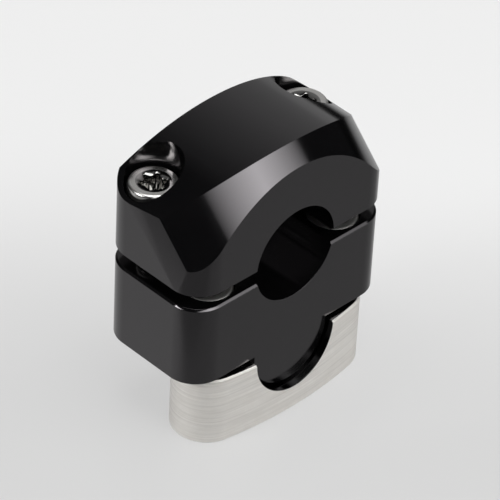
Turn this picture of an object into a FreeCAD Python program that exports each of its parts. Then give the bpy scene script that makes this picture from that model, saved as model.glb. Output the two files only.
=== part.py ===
import FreeCAD, Part
import os
import Sketcher

# Handlebar riser: a two-piece bar clamp on a black block, seated in the saddle of an aluminium base.
# Millimetres. +Z is up, +X runs along the bar to the outer side, +Y runs across the bar to the rear.
# The origin is the centre of the base's underside.

SIZES = {
    # the bar, and how far it is lifted above the saddle
    "bar_diameter": 28.6,
    "rise": 30.0,
    "cap_gap": 0.3,
    "block_gap": 3.5,
    # base
    "base_width": 24.0,
    "base_length": 64.0,
    "base_end_radius": 10.0,
    "base_height": 22.1,
    "base_edge": 0.5,
    "fixing_thread": 10.0,
    "fixing_thread_depth": 6.5,
    # riser block
    "block_width": 37.0,
    "block_length": 72.5,
    "outer_wall_offset": 9.1,
    "corner_radius": 9.0,
    "block_edge": 0.6,
    "boss_drop": 1.1,
    "boss_length": 20.0,
    "boss_edge": 0.8,
    "saddle_clearance": 0.1,
    # clamp cap: heights are above the bar's axis
    "crown_height": 33.8,
    "shoulder_height": 19.2,
    "cap_edge": 0.8,
    "facet_height": 20.0,
    "facet_depth": 4.0,
    "bevel_angle": 45.0,
    "end_face_height": 29.0,
    "strip_setback": 7.4,
    "strip_width": 7.85,
    "strip_depth": 0.9,
    # screws, all four alike
    "screw_diameter": 8.0,
    "screw_length": 35.0,
    "screw_tip": 1.0,
    "head_diameter": 14.0,
    "head_height": 8.0,
    "head_edge": 0.7,
    "recess_depth": 4.0,
    "recess_mouth": 9.8,
    "recess_mouth_depth": 0.8,
    "lobe_count": 6,
    "lobe_span": 7.8,
    "valley_span": 5.6,
    "lobe_radius": 0.66,
    # places and fits of the screws
    "clamp_screw_inset": 10.05,
    "clamp_screw_end_inset": 8.8,
    "clamp_seat_height": 13.9,
    "mounting_screw_end_inset": 8.5,
    "mounting_head_cover": 0.5,
    "clamp_head_clearance": 1.0,
    "mounting_head_clearance": 0.5,
    "shank_clearance": 0.5,
    "thread_clearance": 0.05,
    "thread_run_out": 2.5,
}

doc = FreeCAD.newDocument("handlebar_riser")
sheet = doc.addObject("Spreadsheet::Sheet", "sizes")
for row, (alias, size) in enumerate(SIZES.items(), start=1):
    sheet.set(f"A{row}", alias)
    sheet.set(f"B{row}", str(size))
    sheet.setAlias(f"B{row}", alias)
doc.recompute()

# Levels and places that several pieces share
BAR_AXIS = "(sizes.base_height + sizes.rise)"
BLOCK_FLOOR = "(sizes.base_height + sizes.boss_drop)"
BLOCK_TOP = f"({BAR_AXIS} - sizes.block_gap)"
CAP_FLOOR = f"({BAR_AXIS} + sizes.cap_gap)"
OUTER_WALL = "sizes.outer_wall_offset"
INNER_WALL = "(sizes.outer_wall_offset - sizes.block_width)"
REAR_WALL = "(sizes.block_length / 2)"
CLAMP_SCREW_X = f"({INNER_WALL} + sizes.clamp_screw_inset)"
CLAMP_SCREW_Y = f"({REAR_WALL} - sizes.clamp_screw_end_inset)"
CLAMP_SEAT = f"({CAP_FLOOR} + sizes.clamp_seat_height)"
MOUNTING_SCREW_Y = "(sizes.base_length / 2 - sizes.mounting_screw_end_inset)"
MOUNTING_SEAT = f"({BLOCK_TOP} - sizes.mounting_head_cover - sizes.head_height)"
SHANK_HOLE = "(sizes.screw_diameter + 2 * sizes.shank_clearance)"
THREAD_HOLE = "(sizes.screw_diameter + 2 * sizes.thread_clearance)"

TOLERANCE = 1e-4


def number(expression):
    """Value of an expression on the sizes."""
    return float(sheet.evalExpression(expression))


def vector(place):
    """Point of a sketch from a pair of expressions."""
    return FreeCAD.Vector(number(place[0]), number(place[1]), 0)


def new_body(label):
    body = doc.addObject("PartDesign::Body", label)
    body.Label = label
    return body


def new_sketch(body, role, name, offset="0"):
    """Empty sketch on an origin plane of the body, moved along the plane's normal."""
    plane = next(item for item in body.Origin.OriginFeatures if item.Role == role)
    sketch = body.newObject("Sketcher::SketchObject", f"{body.Name}_{name}")
    sketch.AttachmentSupport = [(plane, "")]
    sketch.MapMode = "FlatFace"
    sketch.setExpression("AttachmentOffset.Base.z", offset)
    return sketch


def sketch_origin():
    """Numbers by which a sketch knows its own origin."""
    return -1, 1


def centre_of(geometry):
    """Numbers by which a sketch knows the centre of a circle or an arc."""
    return geometry, 3


def tie(sketch, constraint, expression):
    """Add a constraint whose value follows an expression."""
    index = sketch.addConstraint(constraint)
    sketch.setExpression(f"Constraints[{index}]", expression)


def hold_point(sketch, geometry, vertex, place):
    """Tie a vertex to its place, measured from the sketch's origin."""
    upright_axis, level_axis = -2, -1
    for kind, axis, expression in zip(("DistanceX", "DistanceY"), (upright_axis, level_axis), place):
        if expression == "0":
            sketch.addConstraint(Sketcher.Constraint("PointOnObject", geometry, vertex, axis))
        else:
            distance = Sketcher.Constraint(kind, *sketch_origin(), geometry, vertex, number(expression))
            tie(sketch, distance, expression)


def ends_of(sketch, geometry, start):
    """Vertex numbers of a side's start and end, in the outline's own direction."""
    if sketch.getPoint(geometry, 1).distanceToPoint(start) < TOLERANCE:
        return 1, 2
    return 2, 1


def closed_outline(sketch, corners, arcs=None):
    """Closed outline through the corners. arcs gives, for a side's number, a point that it bends through."""
    arcs = arcs or {}
    points = [vector(corner) for corner in corners]
    sides = []
    for index, start in enumerate(points):
        end = points[(index + 1) % len(points)]
        if index in arcs:
            curve = Part.Arc(start, vector(arcs[index]), end)
        else:
            curve = Part.LineSegment(start, end)
        geometry = sketch.addGeometry(curve)
        sides.append((geometry, *ends_of(sketch, geometry, start)))
    for index, (geometry, first, last) in enumerate(sides):
        following, following_first, _ = sides[(index + 1) % len(sides)]
        sketch.addConstraint(Sketcher.Constraint("Coincident", geometry, last, following, following_first))
        hold_point(sketch, geometry, first, corners[index])
    for index, through in arcs.items():
        marker = sketch.addGeometry(Part.Point(vector(through)), True)
        hold_point(sketch, marker, 1, through)
        sketch.addConstraint(Sketcher.Constraint("PointOnObject", marker, 1, sides[index][0]))


def circle(sketch, centre, diameter):
    round_edge = Part.Circle(vector(centre), FreeCAD.Vector(0, 0, 1), number(diameter) / 2)
    geometry = sketch.addGeometry(round_edge)
    hold_point(sketch, *centre_of(geometry), centre)
    tie(sketch, Sketcher.Constraint("Diameter", geometry, number(diameter)), diameter)


def circle_pair(sketch, x_place, y_place, diameter):
    """Two equal circles, in front of the bar and behind it."""
    circle(sketch, (x_place, f"-{y_place}"), diameter)
    circle(sketch, (x_place, y_place), diameter)


def pad(body, sketch, length, backwards=False):
    feature = body.newObject("PartDesign::Pad", f"{sketch.Name}_pad")
    feature.Profile = sketch
    feature.Reversed = backwards
    feature.setExpression("Length", length)
    doc.recompute()
    return feature


def removed(body, before):
    """Stop if the last cut took nothing away."""
    doc.recompute()
    if body.Shape.Volume > before - TOLERANCE:
        raise RuntimeError(f"{body.Tip.Name} cuts nothing")


def cut_through(body, sketch, both_ways=False, upwards=False):
    before = body.Shape.Volume
    feature = body.newObject("PartDesign::Pocket", f"{sketch.Name}_cut")
    feature.Profile = sketch
    feature.Type = "ThroughAll"
    feature.Reversed = upwards
    if both_ways:
        feature.SideType = "Two sides"
        feature.Type2 = "ThroughAll"
    removed(body, before)


def cut_depth(body, sketch, depth, upwards=False):
    before = body.Shape.Volume
    feature = body.newObject("PartDesign::Pocket", f"{sketch.Name}_cut")
    feature.Profile = sketch
    feature.Reversed = upwards
    feature.setExpression("Length", depth)
    removed(body, before)
    return feature


def dress(body, kind, size_name, size, wanted):
    """Fillet or chamfer on the edges of the body that are wanted."""
    base = body.Tip
    names = [f"Edge{index}" for index, edge in enumerate(base.Shape.Edges, start=1) if wanted(edge)]
    feature = body.newObject(f"PartDesign::{kind}", f"{base.Name}_{kind.lower()}")
    feature.Base = (base, names)
    feature.setExpression(size_name, size)
    doc.recompute()


def is_upright(edge):
    return abs(edge.tangentAt(edge.FirstParameter).z) > 1 - TOLERANCE


def lies_at(level):
    """Test for edges that lie in the horizontal plane of a level."""
    height = number(level)

    def test(edge):
        box = edge.BoundBox
        return abs(box.ZMin - height) < TOLERANCE and abs(box.ZMax - height) < TOLERANCE

    return test


# Base: an oval foot with slightly bowed sides, bored across its top to a half-round saddle of the bar's size.
# The round ends run tangent into the bowed sides, and END_TURN is how far each end turns past its half circle.
base = new_body("saddle_base")
foot = new_sketch(base, "XY_Plane", "foot")
SIDE = "(sizes.base_width / 2)"
END = "(sizes.base_length / 2)"
END_RADIUS = "sizes.base_end_radius"
END_CENTRE = f"({END} - {END_RADIUS})"
SIDE_RADIUS = f"(({SIDE} ^ 2 + {END_CENTRE} ^ 2 - {END_RADIUS} ^ 2) / (2 * ({SIDE} - {END_RADIUS})))"
END_TURN = f"atan({END_CENTRE} / ({SIDE_RADIUS} - {SIDE}))"
TURN_X = f"({END_RADIUS} * cos({END_TURN}))"
TURN_Y = f"({END_CENTRE} + {END_RADIUS} * sin({END_TURN}))"
closed_outline(
    foot,
    [(f"-{TURN_X}", f"-{TURN_Y}"), (TURN_X, f"-{TURN_Y}"), (TURN_X, TURN_Y), (f"-{TURN_X}", TURN_Y)],
    arcs={0: ("0", f"-{END}"), 1: (SIDE, "0"), 2: ("0", END), 3: (f"-{SIDE}", "0")},
)
pad(base, foot, "sizes.base_height")
dress(base, "Chamfer", "Size", "sizes.base_edge", lambda edge: not is_upright(edge))
saddle = new_sketch(base, "YZ_Plane", "saddle")
circle(saddle, ("0", "sizes.base_height"), "sizes.bar_diameter")
cut_through(base, saddle, both_ways=True)
thread_holes = new_sketch(base, "XY_Plane", "thread_holes", "sizes.base_height")
circle_pair(thread_holes, "0", MOUNTING_SCREW_Y, THREAD_HOLE)
cut_depth(
    base,
    thread_holes,
    f"sizes.screw_length - ({MOUNTING_SEAT} - sizes.base_height) + sizes.thread_run_out",
)
fixing_hole = new_sketch(base, "XY_Plane", "fixing_hole")
circle(fixing_hole, ("0", "0"), "sizes.fixing_thread")
cut_depth(base, fixing_hole, "sizes.fixing_thread_depth", upwards=True)

# Riser block: lower half of the bar clamp on top, half-round boss for the saddle underneath.
block = new_body("riser_block")
block_plan = new_sketch(block, "XY_Plane", "plan", BLOCK_FLOOR)
PLAN_CORNERS = [
    (INNER_WALL, f"-{REAR_WALL}"),
    (OUTER_WALL, f"-{REAR_WALL}"),
    (OUTER_WALL, REAR_WALL),
    (INNER_WALL, REAR_WALL),
]
closed_outline(block_plan, PLAN_CORNERS)
pad(block, block_plan, f"{BLOCK_TOP} - {BLOCK_FLOOR}")
dress(block, "Fillet", "Radius", "sizes.corner_radius", is_upright)
dress(block, "Chamfer", "Size", "sizes.block_edge", lies_at(BLOCK_TOP))
BOSS_SIDE = "(sizes.bar_diameter / 2 - sizes.saddle_clearance)"
boss = new_sketch(block, "YZ_Plane", "boss", OUTER_WALL)
closed_outline(
    boss,
    [
        (f"-{BOSS_SIDE}", BLOCK_FLOOR),
        (f"-{BOSS_SIDE}", "sizes.base_height"),
        (BOSS_SIDE, "sizes.base_height"),
        (BOSS_SIDE, BLOCK_FLOOR),
    ],
    arcs={1: ("0", f"sizes.base_height - {BOSS_SIDE}")},
)
pad(block, boss, "sizes.boss_length", backwards=True)


def rims_boss(edge):
    """Test for the round edge of the boss on the outer wall."""
    box = edge.BoundBox
    return box.XMin > number(OUTER_WALL) - TOLERANCE and box.ZMin < number(BLOCK_FLOOR) - TOLERANCE


dress(block, "Chamfer", "Size", "sizes.boss_edge", rims_boss)
lower_bore = new_sketch(block, "YZ_Plane", "bore")
circle(lower_bore, ("0", BAR_AXIS), "sizes.bar_diameter")
cut_through(block, lower_bore, both_ways=True)
clamp_threads = new_sketch(block, "XY_Plane", "clamp_threads", BLOCK_TOP)
circle_pair(clamp_threads, CLAMP_SCREW_X, CLAMP_SCREW_Y, THREAD_HOLE)
cut_depth(
    block,
    clamp_threads,
    f"sizes.screw_length - ({CLAMP_SEAT} - {BLOCK_TOP}) + sizes.thread_run_out",
)
mounting_heads = new_sketch(block, "XY_Plane", "mounting_heads", MOUNTING_SEAT)
circle_pair(mounting_heads, "0", MOUNTING_SCREW_Y, "sizes.head_diameter + 2 * sizes.mounting_head_clearance")
cut_through(block, mounting_heads, upwards=True)
mounting_shanks = new_sketch(block, "XY_Plane", "mounting_shanks", BLOCK_FLOOR)
circle_pair(mounting_shanks, "0", MOUNTING_SCREW_Y, SHANK_HOLE)
cut_through(block, mounting_shanks, upwards=True)

# Clamp cap: an arch across the bar with the block's plan, then three slanted cuts that shape its ends.
cap = new_body("clamp_cap")
arch = new_sketch(cap, "YZ_Plane", "arch", INNER_WALL)
SHOULDER = f"({BAR_AXIS} + sizes.shoulder_height)"
CROWN = f"({BAR_AXIS} + sizes.crown_height)"
closed_outline(
    arch,
    [(f"-{REAR_WALL}", CAP_FLOOR), (REAR_WALL, CAP_FLOOR), (REAR_WALL, SHOULDER), (f"-{REAR_WALL}", SHOULDER)],
    arcs={2: ("0", CROWN)},
)
pad(cap, arch, "sizes.block_width")
dress(cap, "Fillet", "Radius", "sizes.corner_radius", is_upright)
dress(cap, "Chamfer", "Size", "sizes.cap_edge", lies_at(CAP_FLOOR))

# Facet on the inner side: a steep plane from the wall to the crown, drawn to twice its height.
facet = new_sketch(cap, "XZ_Plane", "facet")
FACET_FOOT = f"({BAR_AXIS} + sizes.facet_height)"
FACET_TOP = f"({FACET_FOOT} + 2 * ({CROWN} - {FACET_FOOT}))"
FACET_INSIDE = f"({INNER_WALL} + 2 * sizes.facet_depth)"
CLEAR_OF_CAP = f"({INNER_WALL} - sizes.block_width)"
closed_outline(
    facet,
    [(INNER_WALL, FACET_FOOT), (FACET_INSIDE, FACET_TOP), (CLEAR_OF_CAP, FACET_TOP), (CLEAR_OF_CAP, FACET_FOOT)],
)
cut_through(cap, facet, both_ways=True)

# Bevel on the outer side: an arched cut along a slanted direction, with a flat strip beside each end.
# The sketch is tipped about the Y axis, so its height runs outward and up at the bevel's angle.
bevel = new_sketch(cap, "YZ_Plane", "bevel")
bevel.AttachmentOffset = FreeCAD.Placement(
    FreeCAD.Vector(0, 0, 0), FreeCAD.Rotation(FreeCAD.Vector(1, 0, 0), number("sizes.bevel_angle"))
)
bevel.setExpression("AttachmentOffset.Rotation.Angle", "sizes.bevel_angle")


def slanted(x_place, z_place):
    """Height in the tipped sketch of a point in the part's own frame."""
    return f"({x_place} * sin(sizes.bevel_angle) + {z_place} * cos(sizes.bevel_angle))"


BEVEL_TOP = slanted(OUTER_WALL, f"({BAR_AXIS} + sizes.end_face_height)")
STRIP_FOOT = slanted(f"({OUTER_WALL} - sizes.strip_setback)", CAP_FLOOR)
STRIP_TOP = f"({STRIP_FOOT} + sizes.strip_width)"
STRIP_INSIDE = f"({REAR_WALL} - sizes.strip_depth)"
CLEAR_SIDE = "sizes.block_length"
CLEAR_TOP = f"({BEVEL_TOP} + sizes.block_length)"
closed_outline(
    bevel,
    [
        (f"-{REAR_WALL}", STRIP_FOOT),
        (f"-{STRIP_INSIDE}", STRIP_TOP),
        (STRIP_INSIDE, STRIP_TOP),
        (REAR_WALL, STRIP_FOOT),
        (CLEAR_SIDE, STRIP_FOOT),
        (CLEAR_SIDE, CLEAR_TOP),
        (f"-{CLEAR_SIDE}", CLEAR_TOP),
        (f"-{CLEAR_SIDE}", STRIP_FOOT),
    ],
    arcs={1: ("0", BEVEL_TOP)},
)
cut_through(cap, bevel, both_ways=True)

upper_bore = new_sketch(cap, "YZ_Plane", "bore")
circle(upper_bore, ("0", BAR_AXIS), "sizes.bar_diameter")
cut_through(cap, upper_bore, both_ways=True)
clamp_heads = new_sketch(cap, "XY_Plane", "clamp_heads", CLAMP_SEAT)
circle_pair(
    clamp_heads, CLAMP_SCREW_X, CLAMP_SCREW_Y, "sizes.head_diameter + 2 * sizes.clamp_head_clearance"
)
cut_through(cap, clamp_heads, upwards=True)
clamp_shanks = new_sketch(cap, "XY_Plane", "clamp_shanks", CAP_FLOOR)
circle_pair(clamp_shanks, CLAMP_SCREW_X, CLAMP_SCREW_Y, SHANK_HOLE)
cut_through(cap, clamp_shanks, upwards=True)


def sixth_of_recess(sketch):
    """One lobe of the six-lobe recess: a round lobe between two halves of hollow flanks, closed at the axis."""
    half_sixth = "(180 / sizes.lobe_count)"
    valley_x = f"(sizes.valley_span / 2 * cos({half_sixth}))"
    valley_y = f"(sizes.valley_span / 2 * sin({half_sixth}))"
    lobe_centre = "(sizes.lobe_span / 2 - sizes.lobe_radius)"
    axis_point = FreeCAD.Vector(0, 0, 0)
    left = vector((valley_x, f"-{valley_y}"))
    right = vector((valley_x, valley_y))
    tip = vector(("sizes.lobe_span / 2", "0"))
    flank = FreeCAD.Vector(number(lobe_centre), number("sizes.lobe_radius"), 0)
    flank_mirrored = FreeCAD.Vector(flank.x, -flank.y, 0)
    # each flank bends towards the axis, so its middle is set a little inside its chord
    bend = 0.9
    left_middle = (left + flank_mirrored) * bend / 2
    right_middle = (right + flank) * bend / 2
    sides = [
        sketch.addGeometry(Part.LineSegment(axis_point, left)),
        sketch.addGeometry(Part.Arc(left, left_middle, flank_mirrored)),
        sketch.addGeometry(Part.Arc(flank_mirrored, tip, flank)),
        sketch.addGeometry(Part.Arc(flank, right_middle, right)),
        sketch.addGeometry(Part.LineSegment(right, axis_point)),
    ]
    starts = [axis_point, left, flank_mirrored, flank, right]
    ends = [ends_of(sketch, side, start) for side, start in zip(sides, starts)]
    joints = ["Coincident", "Tangent", "Tangent", "Coincident", "Coincident"]
    for index, joint in enumerate(joints):
        following = (index + 1) % len(sides)
        sketch.addConstraint(
            Sketcher.Constraint(joint, sides[index], ends[index][1], sides[following], ends[following][0])
        )
    sketch.addConstraint(Sketcher.Constraint("Coincident", sides[0], ends[0][0], *sketch_origin()))
    hold_point(sketch, sides[0], ends[0][1], (valley_x, f"-{valley_y}"))
    hold_point(sketch, sides[4], ends[4][0], (valley_x, valley_y))
    hold_point(sketch, *centre_of(sides[2]), (lobe_centre, "0"))
    tie(sketch, Sketcher.Constraint("Radius", sides[2], number("sizes.lobe_radius")), "sizes.lobe_radius")
    sketch.addConstraint(Sketcher.Constraint("PointOnObject", *centre_of(sides[1]), sides[0]))
    sketch.addConstraint(Sketcher.Constraint("PointOnObject", *centre_of(sides[3]), sides[4]))


def make_screw(label, x_place, y_place, seat):
    """Cylinder-head screw with a six-lobe recess. Its own origin is the centre of the seat under its head."""
    screw = new_body(label)
    half_section = new_sketch(screw, "XZ_Plane", "section")
    shank = "(sizes.screw_diameter / 2)"
    head = "(sizes.head_diameter / 2)"
    tip = "-sizes.screw_length"
    top = "sizes.head_height"
    closed_outline(
        half_section,
        [
            ("0", tip),
            (f"{shank} - sizes.screw_tip", tip),
            (shank, f"{tip} + sizes.screw_tip"),
            (shank, "0"),
            (head, "0"),
            (head, f"{top} - sizes.head_edge"),
            (f"{head} - sizes.head_edge", top),
            ("0", top),
        ],
    )
    turned = screw.newObject("PartDesign::Revolution", f"{label}_turned")
    turned.Profile = half_section
    turned.ReferenceAxis = (half_section, ["V_Axis"])
    doc.recompute()
    mouth = new_sketch(screw, "XZ_Plane", "mouth")
    closed_outline(mouth, [("0", f"{top} - sizes.recess_mouth_depth"), ("sizes.recess_mouth / 2", top), ("0", top)])
    before = screw.Shape.Volume
    dished = screw.newObject("PartDesign::Groove", f"{label}_dished")
    dished.Profile = mouth
    dished.ReferenceAxis = (mouth, ["V_Axis"])
    removed(screw, before)
    lobe = new_sketch(screw, "XY_Plane", "lobe", top)
    sixth_of_recess(lobe)
    lobe_cut = cut_depth(screw, lobe, "sizes.recess_depth")
    star = screw.newObject("PartDesign::PolarPattern", f"{label}_star")
    star.Originals = [lobe_cut]
    star.Axis = (lobe, ["N_Axis"])
    star.Angle = 360
    star.setExpression("Occurrences", "sizes.lobe_count")
    screw.Tip = star
    screw.setExpression("Placement.Base.x", x_place)
    screw.setExpression("Placement.Base.y", y_place)
    screw.setExpression("Placement.Base.z", seat)
    doc.recompute()
    return screw


screws = [
    make_screw("front_clamp_screw", CLAMP_SCREW_X, f"-{CLAMP_SCREW_Y}", CLAMP_SEAT),
    make_screw("rear_clamp_screw", CLAMP_SCREW_X, CLAMP_SCREW_Y, CLAMP_SEAT),
    make_screw("front_mounting_screw", "0", f"-{MOUNTING_SCREW_Y}", MOUNTING_SEAT),
    make_screw("rear_mounting_screw", "0", MOUNTING_SCREW_Y, MOUNTING_SEAT),
]

# Every object has to be sound before anything is written.
doc.recompute()
for item in doc.Objects:
    if "Invalid" in item.State or "Error" in item.State:
        raise RuntimeError(f"{item.Name} failed: {item.State}")
bodies = [base, block, cap, *screws]
for body in bodies:
    if body.Shape.isNull() or not body.Shape.isValid() or len(body.Shape.Solids) != 1:
        raise RuntimeError(f"{body.Label} is not one sound solid")

os.makedirs("parts", exist_ok=True)
for body in bodies:
    body.Shape.exportStep(f"parts/{body.Label}.step")
    print(f"{body.Label}: {body.Shape.Volume:.0f} mm3")
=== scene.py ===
import math
from functools import partial

import bmesh
import bpy
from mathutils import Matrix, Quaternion, Vector


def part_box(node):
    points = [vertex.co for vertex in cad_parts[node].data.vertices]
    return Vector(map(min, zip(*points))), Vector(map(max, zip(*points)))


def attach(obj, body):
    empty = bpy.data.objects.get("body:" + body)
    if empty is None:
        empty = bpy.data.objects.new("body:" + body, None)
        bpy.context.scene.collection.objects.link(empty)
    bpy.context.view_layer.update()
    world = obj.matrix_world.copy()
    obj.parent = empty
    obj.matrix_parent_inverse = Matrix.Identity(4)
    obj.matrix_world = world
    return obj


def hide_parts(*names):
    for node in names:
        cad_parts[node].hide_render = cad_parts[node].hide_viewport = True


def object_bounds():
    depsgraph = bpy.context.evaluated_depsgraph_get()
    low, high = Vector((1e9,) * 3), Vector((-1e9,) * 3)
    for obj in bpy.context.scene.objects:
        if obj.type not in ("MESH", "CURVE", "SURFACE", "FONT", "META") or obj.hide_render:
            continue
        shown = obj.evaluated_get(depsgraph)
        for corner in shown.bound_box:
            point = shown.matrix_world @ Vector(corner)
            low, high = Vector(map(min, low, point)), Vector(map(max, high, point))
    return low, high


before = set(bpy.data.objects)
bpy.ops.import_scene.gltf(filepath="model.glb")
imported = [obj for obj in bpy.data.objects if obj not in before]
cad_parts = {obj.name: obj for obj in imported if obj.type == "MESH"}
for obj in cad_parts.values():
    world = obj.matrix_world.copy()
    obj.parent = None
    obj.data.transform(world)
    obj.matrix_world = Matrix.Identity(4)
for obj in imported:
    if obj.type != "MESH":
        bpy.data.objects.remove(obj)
cad_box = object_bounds()
scene = bpy.context.scene
scene.view_settings.view_transform = "Standard"

# Saddle base
# The foot of the riser, milled from bare aluminium bar and left without a coat. The cutter leaves fine
# lines round its wall. One screw from below holds it, and the half-round saddle on top carries the block.
MM = 0.001
BASE_EDGE = 0.15 * MM
SADDLE_AXIS = 22.1 * MM
SADDLE_RADIUS = 14.3 * MM
LINE_DARK = (0.77, 0.75, 0.715, 1.0)
LINE_PALE = (0.99, 0.97, 0.935, 1.0)
WALL_PATCH = (0.80, 0.775, 0.735, 1.0)
# near black in the saddle is painted shade and a painted reflection of the black boss that sits in it
SADDLE_PAINTED_SHADE = (0.10, 0.10, 0.10, 1.0)
WALL_METALLIC = 0.72
WALL_ROUGHNESS = (0.64, 0.76)
CUT_ROUGHNESS = (0.08, 0.14)
LINE_STRETCH = (90, 90, 3600)
GROUND_DEPTH = (0.08 * MM, 0.02 * MM)
BORE_DEPTH = (0.05 * MM, 0.2 * MM)
NOISE_RANGE = (0.25, 0.75)

# facets of a curve turn by less than the first angle, and edges sharper than the second are broken,
# so what lies between the two stays a plain crease
CURVE_STEP = math.radians(6.2)
BROKEN_FROM = math.radians(24)
FLAT_WITHIN = math.radians(0.3)
SAME_POINT = 0.001 * MM
BEVEL_STEPS = 3


def milled_piece(name, node, edge_width):
    """The solid's shape as one closed skin, with its sharp edges broken by a narrow rounded bevel."""
    skin = bmesh.new()
    skin.from_mesh(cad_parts[node].data)
    bmesh.ops.remove_doubles(skin, verts=skin.verts, dist=SAME_POINT)
    bmesh.ops.dissolve_limit(skin, angle_limit=FLAT_WITHIN, verts=skin.verts, edges=skin.edges)
    for face in skin.faces:
        face.smooth = True
    for edge in skin.edges:
        edge.smooth = not CURVE_STEP < edge.calc_face_angle(0.0) < BROKEN_FROM
    mesh = bpy.data.meshes.new(name)
    skin.to_mesh(mesh)
    skin.free()
    piece = bpy.data.objects.new(name, mesh)
    scene.collection.objects.link(piece)
    broken_edges = piece.modifiers.new("broken_edges", "BEVEL")
    broken_edges.width = edge_width
    broken_edges.segments = BEVEL_STEPS
    broken_edges.limit_method = "ANGLE"
    broken_edges.angle_limit = BROKEN_FROM
    even_shading = piece.modifiers.new("even_shading", "WEIGHTED_NORMAL")
    even_shading.mode = "FACE_AREA"
    even_shading.keep_sharp = True
    return piece


def new_finish(name):
    """A new material, with its node tree and its Principled shader."""
    finish = bpy.data.materials.new(name)
    finish.use_nodes = True
    return finish.node_tree, finish.node_tree.nodes["Principled BSDF"], finish


def fill_inputs(tree, node, inputs):
    """Sets each input to a plain value, or links it to the output of another node."""
    for key, value in inputs.items():
        if isinstance(value, bpy.types.NodeSocket):
            tree.links.new(value, node.inputs[key])
        else:
            node.inputs[key].default_value = value


def add_node(tree, kind, inputs=None, **settings):
    """A node with its settings and inputs."""
    node = tree.nodes.new(kind)
    for key, value in settings.items():
        setattr(node, key, value)
    fill_inputs(tree, node, inputs or {})
    return node


def calc(tree, operation, *values):
    """One step of arithmetic on numbers."""
    return add_node(tree, "ShaderNodeMath", dict(enumerate(values)), operation=operation).outputs["Value"]


def ramp(tree, value, start, end, low=0.0, high=1.0, curve="LINEAR"):
    """Goes from low to high while a value goes from start to end, and is level before and after."""
    node = add_node(
        tree, "ShaderNodeMapRange",
        {"Value": value, "From Min": start, "From Max": end, "To Min": low, "To Max": high},
        interpolation_type=curve,
    )
    return node.outputs["Result"]


def spread(tree, noise, low, high):
    """A noise, which keeps to the middle of 0 to 1, spread over another range."""
    return ramp(tree, noise, *NOISE_RANGE, low, high)


def blend_values(tree, share, first, second):
    """A number from the first to the second."""
    inputs = {"Factor": share, "A": first, "B": second}
    return add_node(tree, "ShaderNodeMix", inputs, data_type="FLOAT").outputs["Result"]


def blend_colours(tree, share, first, second):
    """A colour from the first to the second."""
    mix = add_node(tree, "ShaderNodeMix", {"Factor": share}, data_type="RGBA")
    places = [index for index, socket in enumerate(mix.inputs) if socket.type == "RGBA"]
    fill_inputs(tree, mix, dict(zip(places, (first, second))))
    return next(socket for socket in mix.outputs if socket.type == "RGBA")


def remap(tree, place, scale=(1, 1, 1), shift=(0, 0, 0)):
    """A place that is scaled and then shifted."""
    inputs = {"Vector": place, "Scale": scale, "Location": shift}
    return add_node(tree, "ShaderNodeMapping", inputs).outputs["Vector"]


def length_of(tree, vector):
    """How long a vector is."""
    return add_node(tree, "ShaderNodeVectorMath", {0: vector}, operation="LENGTH").outputs["Value"]


def add_bump(tree, height, strength, depth, below=None):
    """Fine relief from a height, on top of the relief below where there is one."""
    bump = add_node(tree, "ShaderNodeBump", {"Height": height, "Strength": strength, "Distance": depth})
    if below is not None:
        tree.links.new(below, bump.inputs["Normal"])
    return bump.outputs["Normal"]


def grain_group():
    """Grain that all the metals share: a fine height for the bump, and broad patches of another tone."""
    group = bpy.data.node_groups.new("metal_grain", "ShaderNodeTree")
    group.interface.new_socket("Place", in_out="INPUT", socket_type="NodeSocketVector")
    for label in ("Fineness", "Patches"):
        group.interface.new_socket(label, in_out="INPUT", socket_type="NodeSocketFloat")
    for label in ("Height", "Tone"):
        group.interface.new_socket(label, in_out="OUTPUT", socket_type="NodeSocketFloat")
    inside = group.nodes.new("NodeGroupInput").outputs
    fine = add_node(
        group, "ShaderNodeTexNoise",
        {"Vector": inside["Place"], "Scale": inside["Fineness"], "Detail": 2.0, "Roughness": 0.6},
    )
    broad = add_node(
        group, "ShaderNodeTexNoise",
        {"Vector": inside["Place"], "Scale": inside["Patches"], "Detail": 3.0, "Roughness": 0.55},
    )
    outside = group.nodes.new("NodeGroupOutput")
    fill_inputs(group, outside, {"Height": fine.outputs["Fac"], "Tone": broad.outputs["Fac"]})
    return group


metal_grain = grain_group()


def add_grain(tree, place, fineness, patches):
    """The shared grain's height and tone, with its own fineness and size of patches."""
    inputs = {"Place": place, "Fineness": fineness, "Patches": patches}
    return add_node(tree, "ShaderNodeGroup", inputs, node_tree=metal_grain).outputs


def on_bore(tree, place, height, radius):
    """1 on the wall of a bore that runs along the bar's direction, and 0 just past it."""
    from_axis = length_of(tree, remap(tree, place, scale=(0, 1, 1), shift=(0, 0, -height)))
    return ramp(tree, from_axis, radius + BORE_DEPTH[0], radius + BORE_DEPTH[1], 1.0, 0.0)


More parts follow.
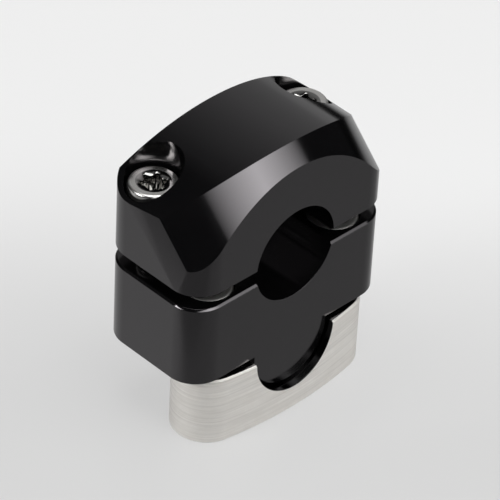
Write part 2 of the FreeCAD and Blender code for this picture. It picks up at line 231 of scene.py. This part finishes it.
def bare_aluminium():
    """Bare milled aluminium: fine cutter lines and a dull skin on the wall, smooth cuts on top, and
    painted shade in the saddle.
    """
    tree, shader, finish = new_finish("bare_aluminium_milled")
    place = tree.nodes.new("ShaderNodeTexCoord").outputs["Object"]
    # cutter lines: noise that is stretched along the wall and short in height
    lines = add_grain(tree, remap(tree, place, scale=LINE_STRETCH), fineness=1.0, patches=0.5)
    grain = add_grain(tree, place, fineness=2600.0, patches=240.0)
    lined_colour = blend_colours(tree, spread(tree, lines["Tone"], 0.0, 1.0), LINE_DARK, LINE_PALE)
    wall_colour = blend_colours(tree, spread(tree, grain["Tone"], 0.0, 0.5), lined_colour, WALL_PATCH)
    # the saddle is bored and the top face ground, so both are smoother than the wall
    in_saddle = on_bore(tree, place, SADDLE_AXIS, SADDLE_RADIUS)
    height = add_node(tree, "ShaderNodeSeparateXYZ", {"Vector": place}).outputs["Z"]
    on_top = ramp(tree, height, SADDLE_AXIS - GROUND_DEPTH[0], SADDLE_AXIS - GROUND_DEPTH[1])
    fine_cut = calc(tree, "MAXIMUM", in_saddle, on_top)
    wall_roughness = spread(tree, grain["Tone"], *WALL_ROUGHNESS)
    cut_roughness = spread(tree, grain["Tone"], *CUT_ROUGHNESS)
    line_bump = add_bump(tree, lines["Height"], strength=0.35, depth=0.02 * MM)
    grain_bump = add_bump(tree, grain["Height"], strength=0.25, depth=0.02 * MM, below=line_bump)
    fill_inputs(tree, shader, {
        # the saddle's colour is painted shade, standing for the shadowed saddle that mirrors the black
        # boss
        "Base Color": blend_colours(tree, in_saddle, wall_colour, SADDLE_PAINTED_SHADE),
        # on the wall a dull oxide skin scatters part of the light
        "Metallic": ramp(tree, fine_cut, 0.0, 1.0, WALL_METALLIC, 1.0),
        "Roughness": blend_values(tree, fine_cut, wall_roughness, cut_roughness),
        # the lines round the wall spread reflections up and down
        "Anisotropic": 0.3,
        "Anisotropic Rotation": 0.25,
        "Normal": grain_bump,
    })
    return finish


milled_base = milled_piece("milled_base", "saddle_base", BASE_EDGE)
milled_base.data.materials.append(bare_aluminium())
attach(milled_base, "root")
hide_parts("saddle_base")

# Riser block
# The body of the riser, milled from aluminium and black anodised to an even satin. Its boss sits in the
# base's saddle, and the hollow in its top is the lower half of the bar clamp.
BLOCK_EDGE = 0.22 * MM
BAR_AXIS = 52.1 * MM
BAR_RADIUS = 14.3 * MM
DYE_DARK = (0.0016, 0.0016, 0.0018, 1.0)
DYE_PALE = (0.0034, 0.0033, 0.0035, 1.0)
OXIDE_TINT = (1.0, 0.955, 0.99, 1.0)
OXIDE_IOR = 1.72
OXIDE_ROUGHNESS = (0.10, 0.14)
BORING_STRETCH = (2400, 25, 25)


def black_anodised(name):
    """Black dye under a clear sealed oxide skin: nearly no colour of its own, and an even satin gloss."""
    tree, shader, finish = new_finish(name)
    place = tree.nodes.new("ShaderNodeTexCoord").outputs["Object"]
    grain = add_grain(tree, place, fineness=2800.0, patches=55.0)
    # boring lines: they run round the bar's axis, and fade out just past the bore's wall
    lines = add_grain(tree, remap(tree, place, scale=BORING_STRETCH), fineness=1.0, patches=0.3)
    bored = calc(tree, "MULTIPLY", lines["Height"], on_bore(tree, place, BAR_AXIS, BAR_RADIUS))
    line_bump = add_bump(tree, bored, strength=0.3, depth=0.02 * MM)
    grain_bump = add_bump(tree, grain["Height"], strength=0.2, depth=0.01 * MM, below=line_bump)
    fill_inputs(tree, shader, {
        "Base Color": blend_colours(tree, grain["Tone"], DYE_DARK, DYE_PALE),
        "Metallic": 0.0,
        "Roughness": spread(tree, grain["Tone"], *OXIDE_ROUGHNESS),
        "IOR": OXIDE_IOR,
        "Specular Tint": OXIDE_TINT,
        "Normal": grain_bump,
    })
    return finish


milled_block = milled_piece("milled_block", "riser_block", BLOCK_EDGE)
milled_block.data.materials.append(black_anodised("black_anodised_block"))
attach(milled_block, "root")
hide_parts("riser_block")

# Mounting screws
# Two M8 screws with a six-lobe recess, turned and thread-rolled from stainless steel and left dull. Their
# colour is darkened below bare steel as painted shade for the pockets under the cap. They stand in the
# block's pockets, under the cap, and pull the block down into the base.
SCREW_RADIUS = 4.0 * MM
SCREW_LENGTH = 35.0 * MM
TIP_CHAMFER = 1.0 * MM
THREAD_PITCH = 1.25 * MM
THREAD_DEPTH = 0.68 * MM
THREAD_PLAY = 0.01 * MM
HEAD_RADIUS = 7.0 * MM
HEAD_HEIGHT = 8.0 * MM
HEAD_ROUNDING = 0.8 * MM
HEAD_RIM = 0.12 * MM
HEAD_POINTS = 96
RECESS_FLOOR = 4.0 * MM
MOUTH_RADIUS = 4.9 * MM
MOUTH_DEPTH = 0.8 * MM
LOBE_REACH = 3.9 * MM
VALLEY_REACH = 2.8 * MM
LOBE_RADIUS = 0.66 * MM
STEEL_WARMTH = (1.0, 0.985, 0.955)
# the recess's colour is the steel's darker tone scaled down, as painted shade in the hollow
RECESS_PAINTED_SHADE_SCALE = (0.45, 0.6)
SATIN_MORE = (0.16, 0.2)
MOUTH_FADE = 0.1 * MM
STEEL_SHARP_FROM = math.radians(40)


def recess_reach(turn):
    """Distance of the six-lobe recess's wall from the axis: round lobes that run into round valleys."""
    sixth = math.pi / 3
    off_lobe = abs((turn + sixth / 2) % sixth - sixth / 2)
    lobe_centre = LOBE_REACH - LOBE_RADIUS
    half = math.cos(sixth / 2)
    apart = lobe_centre ** 2 + VALLEY_REACH ** 2 - 2 * lobe_centre * VALLEY_REACH * half
    valley_radius = (apart - LOBE_RADIUS ** 2) / (2 * (LOBE_RADIUS - VALLEY_REACH + lobe_centre * half))
    valley_centre = VALLEY_REACH + valley_radius
    meeting = LOBE_RADIUS / (LOBE_RADIUS + valley_radius)
    meet_x = lobe_centre + (valley_centre * half - lobe_centre) * meeting
    meet_y = valley_centre * math.sin(sixth / 2) * meeting
    if off_lobe < math.atan2(meet_y, meet_x):
        side = lobe_centre * math.sin(off_lobe)
        return lobe_centre * math.cos(off_lobe) + math.sqrt(max(LOBE_RADIUS ** 2 - side ** 2, 0))
    off_valley = sixth / 2 - off_lobe
    side = valley_centre * math.sin(off_valley)
    return valley_centre * math.cos(off_valley) - math.sqrt(max(valley_radius ** 2 - side ** 2, 0))


def screw_head():
    """Head from its underside round to the floor of the recess, and the flat end of the screw's tip."""

    def dish(reach):
        """Height of the shallow dish round the recess."""
        return HEAD_HEIGHT - MOUTH_DEPTH * (1 - reach / MOUTH_RADIUS)

    # each ring has a distance from the axis for each turn, and a height for each distance
    rounding_steps = 4
    rim_start = HEAD_RIM * 0.3
    rings = [
        (lambda turn: SCREW_RADIUS - THREAD_DEPTH, lambda reach: 0.0),
        (lambda turn: HEAD_RADIUS - HEAD_RIM, lambda reach: 0.0),
        (lambda turn: HEAD_RADIUS, lambda reach: HEAD_RIM),
        (lambda turn: HEAD_RADIUS, lambda reach: HEAD_HEIGHT - HEAD_ROUNDING),
    ]
    for step in range(1, rounding_steps + 1):
        rise = math.radians(90 * step / rounding_steps)
        rings.append((
            lambda turn, rise=rise: HEAD_RADIUS - HEAD_ROUNDING * (1 - math.cos(rise)),
            lambda reach, rise=rise: HEAD_HEIGHT - HEAD_ROUNDING * (1 - math.sin(rise)),
        ))
    rings += [
        (lambda turn: MOUTH_RADIUS + HEAD_RIM, lambda reach: HEAD_HEIGHT),
        (lambda turn: MOUTH_RADIUS - HEAD_RIM, dish),
        (lambda turn: recess_reach(turn) + HEAD_RIM, dish),
        (lambda turn: recess_reach(turn) + rim_start, lambda reach: dish(reach) - rim_start),
        (recess_reach, lambda reach: dish(reach) - HEAD_RIM),
        (recess_reach, lambda reach: RECESS_FLOOR),
        (lambda turn: recess_reach(turn) / 2, lambda reach: RECESS_FLOOR),
    ]
    head = bmesh.new()
    turns = [2 * math.pi * point / HEAD_POINTS for point in range(HEAD_POINTS)]

    def ring_points(reach_at, height_at):
        """The points of one ring, all the way round."""
        points = []
        for turn in turns:
            reach = reach_at(turn)
            place = (reach * math.cos(turn), reach * math.sin(turn), height_at(reach))
            points.append(head.verts.new(place))
        return points

    loops = [ring_points(*ring) for ring in rings]
    for lower, upper in zip(loops, loops[1:]):
        for point in range(HEAD_POINTS):
            after = (point + 1) % HEAD_POINTS
            head.faces.new((lower[point], lower[after], upper[after], upper[point]))
    head.faces.new(loops[-1])
    tip = ring_points(lambda turn: SCREW_RADIUS - TIP_CHAMFER, lambda reach: -SCREW_LENGTH)
    head.faces.new(reversed(tip))
    mesh = bpy.data.meshes.new("screw_head")
    head.to_mesh(mesh)
    head.free()
    return mesh


def screw_pair_tree():
    """Rolls the thread under a head and sets the screw twice, in front of the bar and behind it."""
    tree = bpy.data.node_groups.new("screw_pair", "GeometryNodeTree")
    tree.interface.new_socket("Geometry", in_out="INPUT", socket_type="NodeSocketGeometry")
    for label in ("Radius", "Length", "Pitch", "Depth", "Place X", "Spacing", "Seat"):
        tree.interface.new_socket(label, in_out="INPUT", socket_type="NodeSocketFloat")
    tree.interface.new_socket("Finish", in_out="INPUT", socket_type="NodeSocketMaterial")
    tree.interface.new_socket("Geometry", in_out="OUTPUT", socket_type="NodeSocketGeometry")
    given = tree.nodes.new("NodeGroupInput").outputs
    work = partial(calc, tree)

    # a sheet one turn wide and the shank's length high, whose rows follow the thread's pitch
    rows_per_pitch = 8
    points_per_turn = 41
    turns = work("DIVIDE", given["Length"], given["Pitch"])
    rows = work("ADD", work("MULTIPLY", turns, rows_per_pitch), 1)
    sheet = add_node(
        tree, "GeometryNodeMeshGrid",
        {"Size X": 1.0, "Size Y": 1.0, "Vertices X": points_per_turn, "Vertices Y": rows},
    )
    position = tree.nodes.new("GeometryNodeInputPosition").outputs["Position"]
    flat = add_node(tree, "ShaderNodeSeparateXYZ", {"Vector": position}).outputs
    along = work("ADD", flat["Y"], 0.5)
    angle = work("MULTIPLY", flat["X"], 2 * math.pi)
    # the rows climb by one pitch in a turn, and stop at the head's underside and at the tip
    climb = work("MULTIPLY", flat["X"], given["Pitch"])
    height = work("ADD", work("MULTIPLY", work("SUBTRACT", along, 1), given["Length"]), climb)
    height = work("MINIMUM", work("MAXIMUM", height, work("MULTIPLY", given["Length"], -1)), 0)
    # flat root, straight flank and flat crest, and a chamfer at the tip
    root_share = 0.15
    flank_slope = 1.43
    row_nudge = 0.001
    phase = work("FRACT", work("ADD", work("MULTIPLY", along, turns), row_nudge))
    off_root = work("MULTIPLY", work("ABSOLUTE", work("SUBTRACT", phase, 0.5)), 2)
    flank = work("MULTIPLY", work("SUBTRACT", off_root, root_share), flank_slope)
    flank = work("MINIMUM", work("MAXIMUM", flank, 0), 1)
    reach = work("SUBTRACT", given["Radius"], work("MULTIPLY", work("SUBTRACT", 1, flank), given["Depth"]))
    tip_reach = work("SUBTRACT", given["Radius"], TIP_CHAMFER)
    reach = work("MINIMUM", reach, work("ADD", work("ADD", height, given["Length"]), tip_reach))
    rolled = add_node(tree, "ShaderNodeCombineXYZ", {
        "X": work("MULTIPLY", reach, work("COSINE", angle)),
        "Y": work("MULTIPLY", reach, work("SINE", angle)),
        "Z": height,
    })
    thread = add_node(
        tree, "GeometryNodeSetPosition",
        {"Geometry": sheet.outputs["Mesh"], "Position": rolled.outputs["Vector"]},
    )
    closed = add_node(
        tree, "GeometryNodeMergeByDistance",
        {"Geometry": thread.outputs["Geometry"], "Distance": 2 * SAME_POINT},
    )
    screw = tree.nodes.new("GeometryNodeJoinGeometry")
    for part in (given, closed.outputs):
        tree.links.new(part["Geometry"], screw.inputs["Geometry"])

    # two places, one on each side of the bar
    first = add_node(
        tree, "ShaderNodeCombineXYZ",
        {"X": given["Place X"], "Y": work("MULTIPLY", given["Spacing"], -0.5), "Z": given["Seat"]},
    )
    step = add_node(tree, "ShaderNodeCombineXYZ", {"Y": given["Spacing"]})
    places = add_node(
        tree, "GeometryNodeMeshLine",
        {"Count": 2, "Start Location": first.outputs["Vector"], "Offset": step.outputs["Vector"]},
    )
    pair = add_node(
        tree, "GeometryNodeInstanceOnPoints",
        {"Points": places.outputs["Mesh"], "Instance": screw.outputs["Geometry"]},
    )
    real = add_node(tree, "GeometryNodeRealizeInstances", {"Geometry": pair.outputs["Instances"]})
    finished = add_node(
        tree, "GeometryNodeSetMaterial",
        {"Geometry": real.outputs["Geometry"], "Material": given["Finish"]},
    )
    add_node(tree, "NodeGroupOutput", {"Geometry": finished.outputs["Geometry"]})
    return tree


screw_pair = screw_pair_tree()


def steel_colour(tone):
    """Grey with a trace of warmth."""
    return (*(tone * part for part in STEEL_WARMTH), 1.0)


def stainless_steel(name, place_x, spacing, tones, gloss):
    """Stainless steel with turning rings round each screw's axis, satin round the recess, whose colour is
    darkened as painted shade.
    """
    tree, shader, finish = new_finish(name)
    place = tree.nodes.new("ShaderNodeTexCoord").outputs["Object"]
    # the front and rear screws mirror each other, so both are read as the rear one
    shifted = remap(tree, place, shift=(-place_x, 0, 0))
    mirrored = add_node(tree, "ShaderNodeVectorMath", {0: shifted}, operation="ABSOLUTE").outputs["Vector"]
    from_axis = length_of(tree, remap(tree, mirrored, scale=(1, 1, 0), shift=(0, -spacing / 2, 0)))
    ring_place = add_node(tree, "ShaderNodeCombineXYZ", {"X": from_axis}).outputs["Vector"]
    rings = add_grain(tree, ring_place, fineness=5200.0, patches=900.0)
    grain = add_grain(tree, place, fineness=2200.0, patches=260.0)
    on_ring = ramp(tree, from_axis, MOUTH_RADIUS - MOUTH_FADE, MOUTH_RADIUS + MOUTH_FADE)
    dark, pale = tones
    top_colour = blend_colours(tree, grain["Tone"], steel_colour(dark), steel_colour(pale))
    # the recess is darkened in colour as painted shade
    painted_recess_shades = [steel_colour(dark * shade) for shade in RECESS_PAINTED_SHADE_SCALE]
    painted_recess_shade = blend_colours(tree, grain["Tone"], *painted_recess_shades)
    polished = spread(tree, rings["Tone"], *gloss)
    satin = spread(tree, rings["Tone"], gloss[0] + SATIN_MORE[0], gloss[1] + SATIN_MORE[1])
    fill_inputs(tree, shader, {
        "Base Color": blend_colours(tree, on_ring, painted_recess_shade, top_colour),
        "Metallic": 1.0,
        "Roughness": blend_values(tree, on_ring, polished, satin),
        "Normal": add_bump(tree, rings["Height"], strength=0.06, depth=0.01 * MM),
    })
    return finish


def set_screws(name, nodes, spacing, tones, gloss):
    """Two screws where the solids of their nodes are, as one plain mesh."""
    low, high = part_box(nodes[0])
    place_x = (low.x + high.x) / 2
    screws = bpy.data.objects.new(name, screw_head())
    scene.collection.objects.link(screws)
    rolling = screws.modifiers.new("rolling", "NODES")
    rolling.node_group = screw_pair
    values = {
        "Radius": SCREW_RADIUS - THREAD_PLAY,
        "Length": SCREW_LENGTH,
        "Pitch": THREAD_PITCH,
        "Depth": THREAD_DEPTH,
        "Place X": place_x,
        "Spacing": spacing,
        "Seat": high.z - HEAD_HEIGHT,
        "Finish": stainless_steel(f"stainless_steel_{name}", place_x, spacing, tones, gloss),
    }
    for socket in screw_pair.interface.items_tree:
        if socket.in_out == "INPUT" and socket.name in values:
            rolling[socket.identifier] = values[socket.name]
    evaluated = screws.evaluated_get(bpy.context.evaluated_depsgraph_get())
    mesh = bpy.data.meshes.new_from_object(evaluated)
    screws.modifiers.remove(rolling)
    screws.data = mesh
    for face in mesh.polygons:
        face.use_smooth = True
    mesh.set_sharp_from_angle(angle=STEEL_SHARP_FROM)
    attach(screws, "root")
    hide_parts(*nodes)


# the mounting screws' low tones are painted shade for the pockets under the cap, not the steel's own
# colour
set_screws(
    "mounting_screws", ("front_mounting_screw", "rear_mounting_screw"),
    spacing=47.0 * MM, tones=(0.28, 0.42), gloss=(0.30, 0.40),
)

# Clamp cap
# The upper half of the bar clamp, milled from aluminium with an arched top and a slanted bevel to the
# outer side, and black anodised like the block. A narrow gap to the block lets it grip the bar.
CAP_EDGE = 0.22 * MM
milled_cap = milled_piece("milled_cap", "clamp_cap", CAP_EDGE)
milled_cap.data.materials.append(black_anodised("black_anodised_cap"))
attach(milled_cap, "root")
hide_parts("clamp_cap")

# Clamp screws
# The same M8 screws, but polished, sunk into the cap's counterbores. They go down past the bar into the
# block's threads and draw the cap onto the bar.
set_screws(
    "clamp_screws", ("front_clamp_screw", "rear_clamp_screw"),
    spacing=54.9 * MM, tones=(0.78, 0.88), gloss=(0.06, 0.12),
)

# Floor
# A smooth white table top with a faint gloss, as used for product pictures. It ends in a soft rim, so
# that the pale surround takes over without a line.
FLOOR_RADIUS = 2.2
FLOOR_POINTS = 96
FLOOR_RIM = (0.7, 2.0)
FLOOR_DARK = (0.63, 0.63, 0.625, 1.0)
FLOOR_PALE = (0.655, 0.655, 0.65, 1.0)
FLOOR_ROUGHNESS = (0.16, 0.22)
floor_mesh = bmesh.new()
bmesh.ops.create_circle(floor_mesh, cap_ends=True, segments=FLOOR_POINTS, radius=FLOOR_RADIUS)
floor_data = bpy.data.meshes.new("floor")
floor_mesh.to_mesh(floor_data)
floor_mesh.free()
floor = bpy.data.objects.new("floor", floor_data)
scene.collection.objects.link(floor)
floor_tree, floor_shader, floor_finish = new_finish("white_table")
floor_place = floor_tree.nodes.new("ShaderNodeTexCoord").outputs["Object"]
floor_grain = add_grain(floor_tree, floor_place, fineness=900.0, patches=6.0)
fill_inputs(floor_tree, floor_shader, {
    "Base Color": blend_colours(floor_tree, floor_grain["Tone"], FLOOR_DARK, FLOOR_PALE),
    "Roughness": spread(floor_tree, floor_grain["Tone"], *FLOOR_ROUGHNESS),
})


def fall(value, start, end, high=1.0, low=0.0):
    """Falls smoothly from high to low while a value goes from start to end."""
    return ramp(floor_tree, value, start, end, high, low, "SMOOTHSTEP")


def floor_towards(way):
    """How far a point of the floor lies in one direction."""
    inputs = {0: floor_place, 1: way}
    return add_node(floor_tree, "ShaderNodeVectorMath", inputs, operation="DOT_PRODUCT").outputs["Value"]


# the table glows a little by itself: paler to the back for the camera, and in reflections less towards
# the dark front of the room and on the outer side, and not at all far off
OUTER_WAY = (1, 0, 0)
OUTER_FADE = (-0.01, 0.022)
OUTER_GLOW = (0.3, 0.07)
FRONT_WAY = (0.5, -0.866, 0)
FRONT_FADE = (0.064, 0.088)
FAR_FADE = (0.2, 0.42)
LEAST_GLOW = 0.24
CAMERA_WAY = (1, -1, 0)
CAMERA_FADE = (-0.16, 0.04)
CAMERA_GLOW = (1.0, 0.7)
CAMERA_SHARE = 0.7
floor_calc = partial(calc, floor_tree)
floor_reach = length_of(floor_tree, floor_place)
side_glow = fall(floor_towards(OUTER_WAY), *OUTER_FADE, *OUTER_GLOW)
off_front = fall(floor_towards(FRONT_WAY), *FRONT_FADE)
mirrored_glow = floor_calc("ADD", floor_calc("MULTIPLY", off_front, side_glow), LEAST_GLOW)
mirrored_glow = floor_calc("MULTIPLY", mirrored_glow, fall(floor_reach, *FAR_FADE))
rays = floor_tree.nodes.new("ShaderNodeLightPath").outputs
back_glow = fall(floor_towards(CAMERA_WAY), *CAMERA_FADE, *CAMERA_GLOW)
camera_glow = floor_calc("MULTIPLY", rays["Is Camera Ray"], back_glow)
floor_glow = add_node(
    floor_tree, "ShaderNodeEmission", {"Strength": floor_calc("MAXIMUM", camera_glow, mirrored_glow)}
)
mirrored_share = floor_calc("MAXIMUM", rays["Is Glossy Ray"], rays["Is Transmission Ray"])
camera_share = floor_calc("MULTIPLY", rays["Is Camera Ray"], CAMERA_SHARE)
table = add_node(floor_tree, "ShaderNodeMixShader", {
    0: floor_calc("MAXIMUM", mirrored_share, camera_share),
    1: floor_shader.outputs["BSDF"],
    2: floor_glow.outputs["Emission"],
})
floor_edge = add_node(floor_tree, "ShaderNodeMixShader", {
    0: fall(floor_reach, *FLOOR_RIM),
    1: floor_tree.nodes.new("ShaderNodeBsdfTransparent").outputs["BSDF"],
    2: table.outputs["Shader"],
})
fill_inputs(floor_tree, floor_tree.nodes["Material Output"], {"Surface": floor_edge.outputs["Shader"]})
floor_data.materials.append(floor_finish)

# Light
# A long softbox over the outer side, brightest in its middle, a square one overhead, a panel in front and
# a low card behind for the base, and a dim room, lighter at the back of the inner side and pale low down.
ROOM_DARK = (0.014, 0.014, 0.015, 1.0)
ROOM_LIGHTER = (0.36, 0.36, 0.36, 1.0)
ROOM_PALE = (0.72, 0.72, 0.72, 1.0)
INNER_FADE = (-0.1, -0.5)
BACK_FADE = (-0.15, 0.65)
LOW_FADE = (0.16, 0.06)
MIRRORED_PALE = 0.3
PANEL_END = 0.06
middle = (Vector(cad_box[0]) + Vector(cad_box[1])) / 2


def panel(name, towards, distance, width, height, radiance, beam=180, peaked=False):
    """Flat soft light that faces the object, its width level. A peaked one fades to both ends."""
    lamp = bpy.data.lights.new(name, "AREA")
    lamp.shape = "RECTANGLE"
    lamp.size = width
    lamp.size_y = height
    lamp.spread = math.radians(beam)
    # a narrow beam gathers the lamp's power straight ahead, so it needs less of it
    gathered = lamp.spread / 2 / math.tan(lamp.spread / 2)
    lamp.energy = radiance * math.pi * width * height * (1 - gathered)
    if peaked:
        lamp.use_nodes = True
        tree = lamp.node_tree
        surface = tree.nodes.new("ShaderNodeNewGeometry").outputs["Parametric"]
        across = add_node(tree, "ShaderNodeSeparateXYZ", {"Vector": surface}).outputs["X"]
        half_way = 0.5
        fade = ramp(tree, calc(tree, "PINGPONG", across, half_way), 0.0, half_way, PANEL_END, 1.0)
        fill_inputs(tree, tree.nodes["Emission"], {"Strength": fade})
    holder = bpy.data.objects.new(name, lamp)
    direction = Vector(towards).normalized()
    holder.location = middle + direction * distance
    holder.rotation_euler = direction.to_track_quat("Z", "Y").to_euler()
    holder.visible_camera = False
    scene.collection.objects.link(holder)


panel(
    "softbox", towards=(0.75, 0.04, 0.66), distance=0.9, width=1.5, height=0.36, radiance=5.8, peaked=True
)
panel("overhead", towards=(0.0, 0.0, 1.0), distance=1.1, width=0.7, height=0.7, radiance=3.6)
panel("front_panel", towards=(-0.25, -0.85, 0.45), distance=1.3, width=0.5, height=0.4, radiance=12.0)
panel(
    "side_card", towards=(0.75, 0.66, 0.04), distance=0.5, width=0.45, height=0.16, radiance=3.0, beam=60
)

room = bpy.data.worlds.new("room")
room.use_nodes = True
scene.world = room
room_tree = room.node_tree
room_calc = partial(calc, room_tree)
room_place = room_tree.nodes.new("ShaderNodeTexCoord").outputs["Generated"]
room_way = add_node(room_tree, "ShaderNodeSeparateXYZ", {"Vector": room_place}).outputs
inner_side = ramp(room_tree, room_way["X"], *INNER_FADE)
lighter = room_calc("MULTIPLY", inner_side, ramp(room_tree, room_way["Y"], *BACK_FADE))
room_walls = blend_colours(room_tree, lighter, ROOM_DARK, ROOM_LIGHTER)
# the camera sees the pale part in full, and reflections see a share of it where the walls are lighter
room_rays = room_tree.nodes.new("ShaderNodeLightPath").outputs
room_mirrored = room_calc("MAXIMUM", room_rays["Is Glossy Ray"], room_rays["Is Transmission Ray"])
room_mirrored = room_calc("MULTIPLY", room_calc("MULTIPLY", room_mirrored, lighter), MIRRORED_PALE)
pale_share = room_calc("MAXIMUM", room_rays["Is Camera Ray"], room_mirrored)
low_down = room_calc("MULTIPLY", ramp(room_tree, room_way["Z"], *LOW_FADE), pale_share)
room_colour = blend_colours(room_tree, low_down, room_walls, ROOM_PALE)
fill_inputs(room_tree, room_tree.nodes["Background"], {"Color": room_colour})

# Camera
# Above and to the front of the outer side, at the picture's viewing angle and tilt.
CAMERA_PLACE = Vector((0.53209, -0.5535, 0.65222))
CAMERA_TILT = math.radians(3.085)
FOCAL_LENGTH = 262
lens = bpy.data.cameras.new("camera")
lens.lens = FOCAL_LENGTH
camera = bpy.data.objects.new("camera", lens)
camera.location = CAMERA_PLACE
aimed = (middle - CAMERA_PLACE).to_track_quat("-Z", "Y")
camera.rotation_euler = (aimed @ Quaternion((0, 0, 1), CAMERA_TILT)).to_euler()
scene.collection.objects.link(camera)
scene.camera = camera
